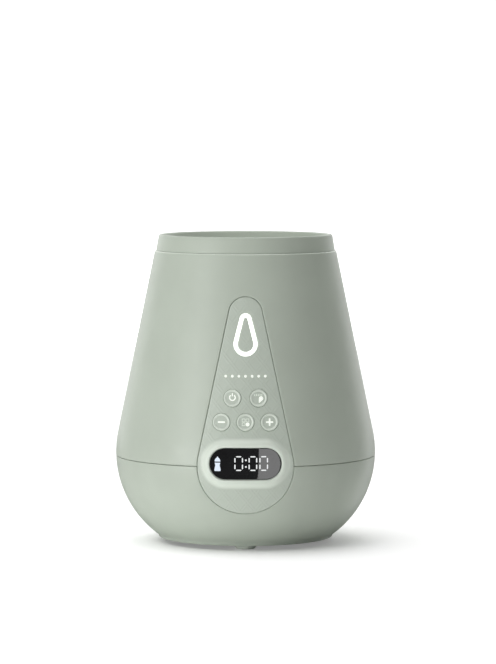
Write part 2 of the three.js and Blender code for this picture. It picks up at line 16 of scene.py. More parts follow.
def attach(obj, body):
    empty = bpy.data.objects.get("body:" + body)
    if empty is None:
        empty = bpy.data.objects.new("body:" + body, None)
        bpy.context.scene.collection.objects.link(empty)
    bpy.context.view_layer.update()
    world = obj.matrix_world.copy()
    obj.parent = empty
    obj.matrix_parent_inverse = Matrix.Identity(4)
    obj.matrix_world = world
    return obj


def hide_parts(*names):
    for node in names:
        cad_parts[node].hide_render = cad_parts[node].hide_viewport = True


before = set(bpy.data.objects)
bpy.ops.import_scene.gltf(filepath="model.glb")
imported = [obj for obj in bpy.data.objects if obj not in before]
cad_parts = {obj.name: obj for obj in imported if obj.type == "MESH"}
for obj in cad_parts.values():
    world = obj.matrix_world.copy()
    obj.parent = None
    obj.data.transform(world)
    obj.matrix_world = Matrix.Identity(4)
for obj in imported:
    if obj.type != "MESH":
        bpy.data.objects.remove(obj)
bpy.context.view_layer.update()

# ---- Dimensions, as in the CAD ------------------------------------------------------------------

MM = 0.001
BOWL_CENTRE_R, BOWL_CENTRE_Z, BOWL_RADIUS = 15, 49, 56
TAPER = radians(11.6)
WALL = 2.4
GAP = 0.3
SEAM_Z, COLLAR_Z, LOWER_RIM_Z, RIM_Z = 47.2, 158, 3.8, 168
LIP_Z, LIP_WALL, LIP_DRAFT = 2.3, 2.1, 0.45  # the short lip under the bowl
FOOT_HEIGHT = 2.6

PANEL_LOW, PANEL_HIGH = ((0, 47.4), 25.9), ((0, 127.7), 9.2)
LIGHT_LOW, LIGHT_HIGH, LIGHT_WIDTH = ((0, 111.9), 6.5), ((0, 124.8), 3.3), 2.35
WINDOW_WIDTH, WINDOW_HEIGHT, WINDOW_Z = 38.5, 17, 49
BEZEL_RADIUS = 72
KEY_RADIUS, KEY_PROUD = 4.6, 0.45
KEYS = {
    "power": (-6.95, 83.5),
    "defrost": (6.95, 83.5),
    "minus": (-12.75, 70.9),
    "program": (0, 70.9),
    "plus": (12.75, 70.9),
}
SLOPE_Z = 80


# ---- The housing's surface ------------------------------------------------------------------------


def skin(z):
    """Radius of the housing's surface at height z."""
    start = BOWL_CENTRE_Z + BOWL_RADIUS * sin(TAPER)
    if z < start:
        bowl = BOWL_CENTRE_R + sqrt(BOWL_RADIUS**2 - (max(z, LOWER_RIM_Z) - BOWL_CENTRE_Z) ** 2)
        return bowl - LIP_DRAFT * max(LOWER_RIM_Z - z, 0)
    return BOWL_CENTRE_R + BOWL_RADIUS * cos(TAPER) - (z - start) * tan(TAPER)


def skin_point(turn, z, depth):
    """The point at an angle from the front and a height, depth below the surface along its normal."""
    lean = min(asin((z - BOWL_CENTRE_Z) / BOWL_RADIUS) if z < 100 else TAPER, TAPER)
    if z < LOWER_RIM_Z:
        lean = 0
    r = skin(z) - depth * cos(lean)
    return Vector((r * sin(turn), -r * cos(turn), z - depth * sin(lean)))


def on_front(x, z, depth):
    """The same, where the point at x and z is seen from straight in front."""
    return skin_point(asin(x / skin(z)), z, depth)


UNROLL = 60  # radius that turns an angle round the housing into a length


def on_round(u, z, depth):
    """The same, where u is the length round the housing from the front."""
    return skin_point(u / UNROLL, z, depth)


# ---- Flat shapes ------------------------------------------------------------------------------------


class Hull:
    """The outline round two circles, each given as a centre and a radius."""

    def __init__(self, first, second):
        (self.a, self.ra), (self.b, self.rb) = first, second
        self.length = hypot(self.b[0] - self.a[0], self.b[1] - self.a[1])
        self.angle = atan2(self.b[1] - self.a[1], self.b[0] - self.a[0])

    def outline(self, grow=0, step=0.5):
        """Points anticlockwise round the shape grown by that much, about step apart."""
        if not self.length:
            return arc(self.a, self.ra + grow, 0, 2 * pi, step)[:-1]
        side = acos((self.ra - self.rb) / self.length)
        start, end = self.angle + side, self.angle + 2 * pi - side
        around_a = arc(self.a, self.ra + grow, start, end, step)
        around_b = arc(self.b, self.rb + grow, end - 2 * pi, start, step)
        straight = max(2, ceil(sqrt(self.length**2 - (self.ra - self.rb) ** 2) / step))
        there = between(around_a[-1], around_b[0], straight)
        back = between(around_b[-1], around_a[0], straight)
        return around_a + there + around_b + back

    def distance(self, x, z):
        """How far a point is outside the outline, or inside where it is negative."""
        px, pz = x - self.a[0], z - self.a[1]
        if not self.length:
            return hypot(px, pz) - self.ra
        along = px * cos(self.angle) + pz * sin(self.angle)
        across = abs(pz * cos(self.angle) - px * sin(self.angle))
        lean = (self.ra - self.rb) / self.length
        upright = sqrt(1 - lean**2)
        edge = along * upright - across * lean
        if edge < 0:
            return hypot(along, across) - self.ra
        if edge > upright * self.length:
            return hypot(along - self.length, across) - self.rb
        return across * upright + along * lean - self.ra


def circle(x, z, radius):
    return Hull(((x, z), radius), ((x, z), radius))


def stroke(x1, z1, x2, z2, width):
    return Hull(((x1, z1), width / 2), ((x2, z2), width / 2))


def arc(centre, radius, start, end, step):
    count = max(8, ceil(abs(end - start) * radius / step))
    angles = [start + (end - start) * i / count for i in range(count + 1)]
    return [(centre[0] + radius * cos(a), centre[1] + radius * sin(a)) for a in angles]


def between(first, last, parts):
    """The points that split a straight line into parts, without its ends."""
    (ax, az), (bx, bz) = first, last
    return [(ax + (bx - ax) * i / parts, az + (bz - az) * i / parts) for i in range(1, parts)]


class Polygon:
    """A closed outline of straight sides."""

    def __init__(self, points):
        self.points = points

    def outline(self, grow=0, step=0.5):
        return list(self.points)

    def distance(self, x, z):
        """1 outside and -1 inside."""
        inside = False
        for (ax, az), (bx, bz) in zip(self.points, self.points[1:] + self.points[:1]):
            if (az > z) != (bz > z) and x < ax + (z - az) * (bx - ax) / (bz - az):
                inside = not inside
        return -1 if inside else 1


def closed(points):
    return points + points[:1]


def grid(low, high, step, keep):
    """Points in rows step apart, every other row shifted by half a step, where keep(x, z) holds."""
    found = []
    row_height = step * sqrt(3) / 2
    for row in range(ceil((high[1] - low[1]) / row_height)):
        z = low[1] + (row + 0.5) * row_height
        for column in range(ceil((high[0] - low[0]) / step)):
            x = low[0] + (column + 0.25 + 0.5 * (row % 2)) * step
            if keep(x, z):
                found.append((x, z))
    return found


def triangulate(lines, points, loops):
    """Points and triangles over lines that stay edges and loose points, within closed loops."""
    coords, edges = [], []
    for line in lines:
        edges += [(i, i + 1) for i in range(len(coords), len(coords) + len(line) - 1)]
        coords += line
    coords += points
    flat, _, faces, _, _, _ = delaunay_2d_cdt([Vector(c) for c in coords], edges, [], 0, 1e-5, False)
    flat = numpy.array([tuple(v) for v in flat])
    middles = flat[numpy.array(faces)].mean(axis=1)
    kept = within(middles[:, 0], middles[:, 1], loops)
    return [tuple(p) for p in flat.tolist()], [tuple(f) for f, k in zip(faces, kept) if k]


def within(x, z, loops):
    """Which points lie within an odd number of the closed loops."""
    odd = numpy.zeros(len(x), bool)
    for loop in loops:
        for (ax, az), (bx, bz) in zip(loop, loop[1:] + loop[:1]):
            if az != bz:
                odd ^= ((az > z) != (bz > z)) & (x < ax + (z - az) * (bx - ax) / (bz - az))
    return odd


# ---- Meshes -----------------------------------------------------------------------------------------

SMOOTH_BELOW = radians(38)


def make(name, bm, material, body, nodes=(), smooth_below=SMOOTH_BELOW):
    """A piece from a bmesh in millimetres: smooth-shaded, on its body, in place of its CAD nodes."""
    bmesh.ops.remove_doubles(bm, verts=bm.verts, dist=1e-4)
    bmesh.ops.recalc_face_normals(bm, faces=bm.faces)
    bmesh.ops.scale(bm, vec=(MM, MM, MM), verts=bm.verts)
    mesh = bpy.data.meshes.new(name)
    bm.to_mesh(mesh)
    bm.free()
    mesh.shade_smooth()
    mesh.set_sharp_from_angle(angle=smooth_below)
    piece = bpy.data.objects.new(name, mesh)
    bpy.context.scene.collection.objects.link(piece)
    if material:
        piece.data.materials.append(material)
    if body:
        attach(piece, body)
    if nodes:
        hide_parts(*nodes)
    return piece


def thick(bm, top, bottom, place, depth, under):
    """A closed sheet: its top at depth(x, z) under the surface, its bottom at under(x, z)."""
    layers = []
    for (flat, faces), level in ((top, depth), (bottom, under)):
        verts = [bm.verts.new(place(x, z, level(x, z))) for x, z in flat]
        for face in faces:
            bm.faces.new([verts[i] for i in face])
        layers.append(verts)
    below = {(round(x, 4), round(z, 4)): i for i, (x, z) in enumerate(bottom[0])}
    sides = {}
    for face in top[1]:
        for i, j in zip(face, face[1:] + face[:1]):
            sides[tuple(sorted((i, j)))] = (i, j) if tuple(sorted((i, j))) not in sides else None
    for side in filter(None, sides.values()):
        ends = [top[0][i] for i in side]
        if all(abs(abs(x) - UNROLL * pi) < 1e-3 for x, _ in ends):
            continue  # the cut behind the housing, where the sheet meets itself
        low = [below[round(x, 4), round(z, 4)] for x, z in ends]
        bm.faces.new([layers[0][side[0]], layers[0][side[1]], layers[1][low[1]], layers[1][low[0]]])


def round_edge(inset, radius):
    """Depth of an edge rounded to a radius, at a distance in from the edge."""
    if inset >= radius:
        return 0
    return radius - sqrt(radius**2 - (radius - max(inset, 0)) ** 2)


def insets(radius, steps=4):
    """Distances in from an edge at which its rounding is drawn."""
    return [radius * (1 - cos(pi / 2 * i / steps)) for i in range(steps + 1)]


def plate(bm, shape, place, depth, under, holes=(), rounding=0.0, step=0.5):
    """A thick sheet over a shape with holes in it, its top edges rounded."""
    rings = insets(rounding) if rounding else [0]
    edge_lines = [closed(shape.outline(0, step))] + [closed(h.outline(0, step)) for h in holes]
    lines = [closed(shape.outline(-d, step)) for d in rings]
    lines += [closed(h.outline(d, step)) for h in holes for d in rings]

    def inside(x, z, margin=0.0):
        return shape.distance(x, z) < -margin and all(h.distance(x, z) > margin for h in holes)

    def top_depth(x, z):
        near = min([-shape.distance(x, z)] + [h.distance(x, z) for h in holes])
        return depth(x, z) + (round_edge(near, rounding) if rounding else 0)

    xs, zs = zip(*edge_lines[0])
    low, high = (min(xs), min(zs)), (max(xs), max(zs))
    fine = grid(low, high, step, lambda x, z: inside(x, z, rounding + step * 0.6))
    coarse = grid(low, high, step * 4, lambda x, z: inside(x, z, step * 2))
    top = triangulate(lines, fine, edge_lines)
    bottom = triangulate(edge_lines, coarse, edge_lines)
    thick(bm, top, bottom, place, top_depth, under)


def turn(bm, profile, segments=160, offset=(0, 0, 0)):
    """A solid of revolution about Z. The profile's points are [radius, z], and it closes on itself."""
    rings = []
    for r, z in profile:
        if r < 1e-6:
            rings.append([bm.verts.new((offset[0], offset[1], z + offset[2]))])
            continue
        angles = [2 * pi * i / segments for i in range(segments)]
        spots = [(r * cos(a) + offset[0], r * sin(a) + offset[1], z + offset[2]) for a in angles]
        rings.append([bm.verts.new(p) for p in spots])
    for first, second in zip(rings, rings[1:] + rings[:1]):
        if len(first) == len(second) == 1:
            continue
        for i in range(segments):
            j = (i + 1) % segments
            corners = [first[i % len(first)], first[j % len(first)], second[j % len(second)]]
            corners.append(second[i % len(second)])
            bm.faces.new(list(dict.fromkeys(corners)))


def filleted(points, steps=5):
    """A profile whose corners, given as (radius, z, fillet), are turned into arcs."""
    made = []
    for i, (r, z, fillet) in enumerate(points):
        corner = Vector((r, z))
        before = Vector(points[i - 1][:2]) - corner
        after = Vector(points[(i + 1) % len(points)][:2]) - corner
        if not fillet or before.length < 1e-6 or after.length < 1e-6:
            made.append((r, z))
            continue
        half = before.angle(after) / 2
        reach = min(fillet / tan(half), 0.48 * before.length, 0.48 * after.length)
        radius = reach * tan(half)
        start, end = corner + before.normalized() * reach, corner + after.normalized() * reach
        centre = corner + (before.normalized() + after.normalized()).normalized() * hypot(radius, reach)
        for k in range(steps + 1):
            spoke = (start - centre).lerp(end - centre, k / steps).normalized() * radius
            made.append(tuple(centre + spoke))
    return made


def turned(name, points, material, body, nodes=(), segments=160, offset=(0, 0, 0)):
    bm = bmesh.new()
    turn(bm, filleted(points), segments, offset)
    return make(name, bm, material, body, nodes)


def prism(outline, to_point, start, end):
    """A bmesh between two copies of an outline. to_point(a, b, level) places its points."""
    bm = bmesh.new()
    ends = [[bm.verts.new(to_point(a, b, level)) for a, b in outline] for level in (start, end)]
    bm.faces.new(ends[0])
    bm.faces.new(ends[1])
    for i in range(len(outline)):
        j = (i + 1) % len(outline)
        bm.faces.new([ends[0][i], ends[0][j], ends[1][j], ends[1][i]])
    return bm


def cut(piece, cutters, operation="DIFFERENCE", smooth_below=SMOOTH_BELOW):
    """Cuts bmeshes in millimetres out of a piece, or joins them to it."""
    for bm in cutters:
        tool = make("tool", bm, None, None)
        modifier = piece.modifiers.new("cut", "BOOLEAN")
        modifier.operation, modifier.solver, modifier.object = operation, "EXACT", tool
        bpy.context.view_layer.update()
        shaped = piece.evaluated_get(bpy.context.evaluated_depsgraph_get())
        mesh = bpy.data.meshes.new_from_object(shaped)
        piece.modifiers.clear()
        piece.data = mesh
        tool_mesh = tool.data
        bpy.data.objects.remove(tool)
        bpy.data.meshes.remove(tool_mesh)
    piece.data.shade_smooth()
    piece.data.set_sharp_from_angle(angle=smooth_below)
    return piece


# ---- Materials --------------------------------------------------------------------------------------


class Material:
    """A node material under construction: a Principled shader and the nodes that feed it."""

    def __init__(self, name, **sockets):
        self.material = bpy.data.materials.new(name)
        self.material.use_nodes = True
        self.nodes = self.material.node_tree.nodes
        self.links = self.material.node_tree.links
        self.shader = self.nodes["Principled BSDF"]
        self.place = self.nodes.new("ShaderNodeTexCoord").outputs["Object"]
        for socket, value in sockets.items():
            self.shader.inputs[socket.replace("_", " ")].default_value = value

    def node(self, kind, inputs=(), **settings):
        node = self.nodes.new(kind)
        for setting, value in settings.items():
            setattr(node, setting, value)
        for socket, value in dict(inputs).items():
            if isinstance(value, bpy.types.NodeSocket):
                self.links.new(value, node.inputs[socket])
            else:
                node.inputs[socket].default_value = value
        return node

    def noise(self, size, detail=2.0, stretch=(1, 1, 1)):
        """Noise between 0 and 1 whose features are about size millimetres across."""
        scaled = self.node(
            "ShaderNodeMapping", {"Vector": self.place, "Scale": [s / (size * MM) for s in stretch]}
        )
        made = self.node(
            "ShaderNodeTexNoise", {"Vector": scaled.outputs["Vector"], "Scale": 1.0, "Detail": detail}
        )
        return made.outputs["Fac"]

    def between(self, factor, low, high):
        """A value from low to high as the factor goes from 0.3 to 0.7, the range noise mostly keeps."""
        made = self.node(
            "ShaderNodeMapRange",
            {"Value": factor, "From Min": 0.3, "From Max": 0.7, "To Min": low, "To Max": high},
        )
        return made.outputs["Result"]

    def colour(self, factor, first, second):
        """Sets the colour to a blend of two colours."""
        mix = self.node("ShaderNodeMix", data_type="RGBA")
        self.links.new(factor, mix.inputs["Factor"])
        mix.inputs[6].default_value = (*first, 1)
        mix.inputs[7].default_value = (*second, 1)
        self.links.new(mix.outputs[2], self.shader.inputs["Base Color"])

    def roughness(self, factor, low, high):
        self.links.new(self.between(factor, low, high), self.shader.inputs["Roughness"])

    def bump(self, heights, strength, distance):
        """Bump from noise outputs, added up; distance is in millimetres."""
        total = heights[0]
        for height in heights[1:]:
            total = self.node("ShaderNodeMath", {0: total, 1: height}, operation="ADD").outputs[0]
        made = self.node(
            "ShaderNodeBump", {"Strength": strength, "Distance": distance * MM, "Height": total}
        )
        self.links.new(made.outputs["Normal"], self.shader.inputs["Normal"])


def linear(*srgb):
    """A colour given as sRGB from 0 to 255, as the shader's linear values."""
    parts = [c / 255 for c in srgb]
    return tuple(p / 12.92 if p <= 0.04045 else ((p + 0.055) / 1.055) ** 2.4 for p in parts)


def shade(colour, factor):
    return tuple(c * factor for c in colour)


def moulded(name, colour, rough=0.42, grain=0.28, mottle=0.025, glow=0.0):
    """Satin moulded plastic: a fine spark-eroded grain, a faint mottle and uneven gloss.

    glow is painted light: an emission in the plastic's own colour that makes it look more brightly lit than
    the lamps make it.
    """
    m = Material(name)
    m.shader.inputs["Emission Color"].default_value = (*colour, 1)
    m.shader.inputs["Emission Strength"].default_value = glow
    m.colour(m.between(m.noise(22, 3), 0, 1), shade(colour, 1 - mottle), shade(colour, 1 + mottle))
    m.roughness(m.noise(3, 3), rough - 0.04, rough + 0.04)
    m.bump([m.noise(grain, 2), m.noise(grain * 2.7, 1)], 0.14, 0.03)
    return m.material


# The third, paler sage is a painted highlight, used round the display window, on the keys' lips and on the
# upper shell's top shoulder. PANEL_GLOW and BEZEL_GLOW are painted glow in the panel's plastic.
SAGE, PALE_SAGE, PAINTED_HIGHLIGHT_SAGE = linear(190, 199, 186), linear(192, 201, 189), linear(204, 212, 201)
PANEL_GLOW, BEZEL_GLOW = 0.09, 0.2
sage = moulded("sage_plastic", SAGE)
# A glowing copy of the sage for the collar's inner wall: painted light.
collar_inner_painted_glow = moulded("sage_plastic_painted_glow", SAGE, glow=0.16)
# The keys' faces glow a little: painted light.
key_face_painted_glow = moulded("key_plastic_painted_glow", shade(PALE_SAGE, 0.92), rough=0.4, grain=0.2, glow=0.12)
# A paler, glowing copy of the sage for the keys' lips: a painted highlight.
key_lip_painted_highlight = moulded("key_lip_plastic_painted_highlight", PAINTED_HIGHLIGHT_SAGE, rough=0.35, grain=0.2, glow=0.15)
# A paler, glowing copy of the sage for the upper shell's top shoulder: a painted highlight.
shoulder_painted_highlight = moulded("sage_shoulder_painted_highlight", PAINTED_HIGHLIGHT_SAGE, rough=0.3, grain=0.2, glow=0.2)
silicone = moulded("sage_silicone", linear(214, 221, 210), rough=0.62, grain=0.4)
basket_plastic = moulded("basket_plastic", linear(226, 229, 222), rough=0.45)
carrier_plastic = moulded("carrier_plastic", linear(158, 163, 158), rough=0.6, grain=0.5)
black_plastic = moulded("black_plastic", linear(32, 32, 33), rough=0.48, grain=0.35, mottle=0.1)
milky_silicone = moulded("milky_silicone", linear(214, 218, 213), rough=0.55)
yellow_tape = moulded("yellow_tape", linear(214, 176, 40), rough=0.35, grain=0.8)
blue_case = moulded("blue_case", linear(40, 84, 150), rough=0.35)
gap_pad_material = moulded("gap_pad_material", linear(140, 143, 146), rough=0.9, grain=0.6)


def gloss_black():
    """Polished black acrylic, with faint haze where it has been wiped."""
    m = Material("gloss_black", IOR=1.49)
    m.colour(m.noise(12, 2), linear(26, 26, 27), linear(31, 31, 32))
    m.roughness(m.noise(9, 3), 0.03, 0.06)
    return m.material


def lit(name, colour, strength, body=0.5):
    """A milky diffuser with light coming through it, a little uneven. body darkens its own colour."""
    m = Material(name, Roughness=0.35)
    own = shade(linear(*colour), body)
    m.colour(m.noise(4, 2), shade(own, 0.95), own)
    m.shader.inputs["Emission Color"].default_value = (*linear(*colour), 1)
    m.links.new(m.between(m.noise(6, 1), strength * 0.96, strength), m.shader.inputs["Emission Strength"])
    return m.material


def metal(name, colour, rough, stretch=(1, 1, 1), size=0.6):
    """Brushed or plated metal: streaks where stretch is small along an axis."""
    m = Material(name, Metallic=1.0)
    streaks = m.noise(size, 3, stretch)
    m.colour(streaks, shade(colour, 0.93), colour)
    m.roughness(streaks, rough - 0.08, rough + 0.08)
    m.bump([streaks], 0.1, 0.02)
    return m.material


def board():
    """Green solder mask with a paler pattern of tracks under it."""
    m = Material("solder_mask")
    tracks = m.node(
        "ShaderNodeTexBrick",
        {"Vector": m.place, "Scale": 320.0, "Mortar Size": 0.03},
    )
    m.colour(tracks.outputs["Fac"], linear(24, 84, 50), linear(34, 104, 62))
    m.roughness(m.noise(2, 2), 0.28, 0.38)
    m.bump([tracks.outputs["Fac"]], 0.3, 0.04)
    return m.material


def insulated(name, colour):
    """Soft wire insulation."""
    return moulded(name, linear(*colour), rough=0.5, grain=0.3, mottle=0.05)


black_window = gloss_black()
lit_white = lit("lit_white", (252, 254, 250), 1.3)
lit_mark = lit("lit_mark", (246, 251, 242), 0.72)
faint_mark = lit("faint_mark", (232, 240, 228), 0.42, 0.7)
lit_digit = lit("lit_digit", (236, 239, 239), 0.95, 0.2)
lit_bottle = lit("lit_bottle", (226, 237, 250), 0.85, 0.2)
aluminium = metal("brushed_aluminium", linear(205, 207, 208), 0.32, stretch=(1, 1, 0.08))
steel = metal("plated_steel", linear(178, 180, 182), 0.36)
brass = metal("brass", linear(206, 170, 96), 0.3)
solder_mask = board()


# ---- Housing ----------------------------------------------------------------------------------------

PANEL = Hull(PANEL_LOW, PANEL_HIGH)
LIGHT_OUTER = Hull(LIGHT_LOW, LIGHT_HIGH)
LIGHT_INNER = Hull(
    (LIGHT_LOW[0], LIGHT_LOW[1] - LIGHT_WIDTH), (LIGHT_HIGH[0], LIGHT_HIGH[1] - LIGHT_WIDTH)
)
WINDOW = stroke(
    -(WINDOW_WIDTH - WINDOW_HEIGHT) / 2,
    WINDOW_Z,
    (WINDOW_WIDTH - WINDOW_HEIGHT) / 2,
    WINDOW_Z,
    WINDOW_HEIGHT,
)

SHELL_STEP = 1.5
EDGE = 0.4  # rounding of the shells' edges along the seam and round the panel
SEAM_GAP = 0.22
COLLAR_FOOT, COLLAR_INSET = COLLAR_Z + 1.3, 0.7
SHOULDER = 0.75  # rounding of the upper shell's top edge, under the collar


def shell(name, low_z, high_z, panel_above, far_edge):
    """Half of the housing round the panel's opening, which is above or below its seam."""

    def notch(inset):
        """The edge line along the seam and round the panel's opening, inset into the shell."""
        seam_z = low_z + inset if panel_above else high_z - inset
        reach = sqrt((PANEL_LOW[1] + inset) ** 2 - (seam_z - PANEL_LOW[0][1]) ** 2)
        round_panel = [
            (x, z)
            for x, z in PANEL.outline(inset, 0.6)
            if (z > seam_z + 0.2 if panel_above else z < seam_z - 0.2)
        ]
        ordered = order_round(round_panel, panel_above)
        opening = [(-reach, seam_z)] + ordered + [(reach, seam_z)]
        opening = [(UNROLL * asin(x / skin(z)), z) for x, z in opening]
        run = UNROLL * pi
        count = ceil((run + opening[0][0]) / SHELL_STEP)
        left = [(-run, seam_z)] + between((-run, seam_z), opening[0], count)
        right = between(opening[-1], (run, seam_z), count) + [(run, seam_z)]
        return left + opening + right

    def far(inset):
        z = high_z - inset if panel_above else low_z + inset
        count = round(2 * pi * UNROLL / SHELL_STEP)
        return [(-UNROLL * pi + 2 * pi * UNROLL * i / count, z) for i in range(count + 1)]

    def from_notch(u, z):
        """Distance into the shell from the seam or the panel's opening."""
        seam = z - low_z if panel_above else high_z - z
        if abs(u / UNROLL) > 1:
            return seam
        return min(seam, PANEL.distance(skin(z) * sin(u / UNROLL), z))

    def from_far(z):
        return high_z - z if panel_above else z - low_z

    def depth(u, z):
        return max(round_edge(from_notch(u, z), EDGE), round_edge(from_far(z), far_edge))

    rings, far_rings = insets(EDGE), insets(far_edge)
    notch_rings = [low_z + d if panel_above else high_z - d for d in rings]
    levels = notch_rings + [far(d)[0][1] for d in far_rings]
    rows = [z for _, z in between((0, low_z), (0, high_z), ceil((high_z - low_z) / SHELL_STEP))]
    rows = [z for z in rows if z - low_z > 1.5 * EDGE and high_z - z > 1.5 * EDGE]
    rows = [z for z in rows if from_far(z) > far_edge + 0.3 and z > LOWER_RIM_Z + 0.5]
    corner = [LOWER_RIM_Z] if low_z < LOWER_RIM_Z else []
    levels = sorted({round(z, 6) for z in levels + rows + corner})
    sides = [[(side * UNROLL * pi, z) for z in levels] for side in (-1, 1)]
    columns = round(2 * pi * UNROLL / SHELL_STEP)
    spots = [
        (-UNROLL * pi + 2 * pi * UNROLL * i / columns, z) for z in rows for i in range(1, columns)
    ]
    spots = [(u, z) for u, z in spots if from_notch(u, z) > EDGE + 0.4 * SHELL_STEP]

    loops = [notch(0) + far(0)[::-1]]
    lines = [notch(d) for d in rings] + [far(d) for d in far_rings] + sides
    if low_z < LOWER_RIM_Z:
        lines.append([(u, LOWER_RIM_Z) for u, _ in far(0)])
    top = triangulate(lines, spots, loops)
    bottom = triangulate([notch(0), far(0)] + sides + lines[-1:], spots[::2], loops)
    bm = bmesh.new()
    thick(bm, top, bottom, on_round, depth, lambda u, z: WALL if z > LOWER_RIM_Z else LIP_WALL)
    return make(name, bm, sage, "housing", [name])


def order_round(points, anticlockwise_from_left):
    """Sorts points round the panel from its left side to its right, over the top or under it."""
    middle = (0, PANEL_LOW[0][1])
    from_left = []
    for x, z in points:
        angle = atan2(z - middle[1], x - middle[0])
        travel = pi - angle if anticlockwise_from_left else (angle + pi) % (2 * pi)
        from_left.append((travel, (x, z)))
    return [p for _, p in sorted(from_left)]


upper_shell = shell("upper_shell", SEAM_Z + SEAM_GAP / 2, COLLAR_FOOT, True, SHOULDER)
lower_shell = shell("lower_shell", LIP_Z, SEAM_Z - SEAM_GAP / 2, False, EDGE)

top_collar = turned(
    "top_collar",
    [
        (39.6, 147.9, 0.4),
        (41.8, 147.9, 0.4),
        (45.2, COLLAR_FOOT, 0),
        (skin(COLLAR_FOOT) - COLLAR_INSET, COLLAR_FOOT, 0),
        (skin(RIM_Z) - COLLAR_INSET / 2, RIM_Z, 1.1),
        (skin(RIM_Z) - 2.7, RIM_Z, 1.1),
    ],
    sage,
    "housing",
    ["top_collar"],
    segments=256,
)
# Up-facing faces of the shoulder under the collar take the paler, glowing copy: a painted highlight line
# along the groove.
upper_shell.data.materials.append(shoulder_painted_highlight)
for face in upper_shell.data.polygons:
    if face.center.z > (COLLAR_FOOT - 0.8 * SHOULDER) * MM and face.normal.z > 0.25:
        face.material_index = 1
# Faces that look in towards the well take the glowing copy: painted light on the collar's inner wall.
top_collar.data.materials.append(collar_inner_painted_glow)
for face in top_collar.data.polygons:
    if face.normal.xy.dot(face.center.xy.normalized()) < -0.5:
        face.material_index = 1


# ---- Control panel ----------------------------------------------------------------------------------

KEY_GAP = 0.11
QUILT_WIDTH, QUILT_HEIGHT = 8.5, 10.5
QUILT_LINE, QUILT_RISE, QUILT_PAIR = 0.5, 0.12, 1.4
BEZEL_FADE_SIDE, BEZEL_FADE_TOP, BEZEL_CREST = 4.2, 5.8, 1.0


def smooth(t):
    t = min(max(t, 0), 1)
    return t * t * (3 - 2 * t)


def quilt(x, z):
    """Height of the fine diamond lattice moulded into the panel."""
    steep = hypot(1 / QUILT_WIDTH, 1 / QUILT_HEIGHT)
    rise = 0
    for way in (-1, 1):
        phase = x / QUILT_WIDTH + way * (z - WINDOW_Z) / QUILT_HEIGHT
        for pair in (0, QUILT_PAIR * steep):
            off = abs(phase - pair - round(phase - pair)) / steep
            rise = max(rise, 1 - smooth(off / QUILT_LINE))
    return QUILT_RISE * rise


def bezel(x, z):
    """Height of the soft ring round the display window."""
    out = WINDOW.distance(x, z)
    near_x = max(abs(x) - (WINDOW_WIDTH - WINDOW_HEIGHT) / 2, 0)
    upward = (z - WINDOW_Z) / max(hypot(near_x, z - WINDOW_Z), 1e-6)
    fade = BEZEL_FADE_SIDE + (BEZEL_FADE_TOP - BEZEL_FADE_SIDE) * upward**2
    return (BEZEL_RADIUS - skin(z)) * (1 - smooth((out - BEZEL_CREST) / (fade - BEZEL_CREST)))


def panel_depth(x, z):
    if LIGHT_OUTER.distance(x, z) < -0.015 and LIGHT_INNER.distance(x, z) > 0.015:
        return 1.4
    ring = bezel(x, z)
    return -ring - quilt(x, z) * (1 - min(ring / 0.3, 1))


KEY_HOLES = {name: circle(x, z, KEY_RADIUS + KEY_GAP) for name, (x, z) in KEYS.items()}


def control_panel():
    shape = Hull((PANEL_LOW[0], PANEL_LOW[1] - GAP), (PANEL_HIGH[0], PANEL_HIGH[1] - GAP))
    holes = list(KEY_HOLES.values()) + [WINDOW]
    rings = insets(0.3, 3)
    edges = [closed(s.outline(0, 0.5)) for s in [shape] + holes]
    lines = [closed(shape.outline(-d, 0.5)) for d in rings]
    lines += [closed(h.outline(d, 0.5)) for h in holes for d in rings]
    grooves = [(LIGHT_OUTER, 1), (LIGHT_INNER, -1)]
    for groove, way in grooves:
        lines += [closed(groove.outline(-way * d, 0.5)) for d in (0, 0.03)]
        lines.append(closed(groove.outline(way * 0.25, 0.5)))

    def inside(x, z, margin=0.0):
        return shape.distance(x, z) < -margin and all(h.distance(x, z) > margin for h in holes)

    def clear(x, z):
        walls = all(abs(g.distance(x, z)) > 0.4 for g, _ in grooves)
        return walls and inside(x, z, 0.3 + 0.2)

    def depth(x, z):
        near = min([-shape.distance(x, z)] + [h.distance(x, z) for h in holes])
        lip = min(abs(g.distance(x, z)) for g, _ in grooves)
        level = panel_depth(x, z)
        if level < 1:
            level += round_edge(lip, 0.25) * 0.6
        return level + round_edge(near, 0.3)

    low, high = (-PANEL_LOW[1], PANEL_LOW[0][1] - PANEL_LOW[1]), (PANEL_LOW[1], 140)
    top = triangulate(lines, grid(low, high, 0.42, clear), edges)
    bottom = triangulate(edges, grid(low, high, 2.5, lambda x, z: inside(x, z, 1)), edges)
    bm = bmesh.new()
    thick(bm, top, bottom, on_front, depth, lambda x, z: 2.2)
    return make("control_panel", bm, None, "housing", ["control_panel"])


panel = control_panel()


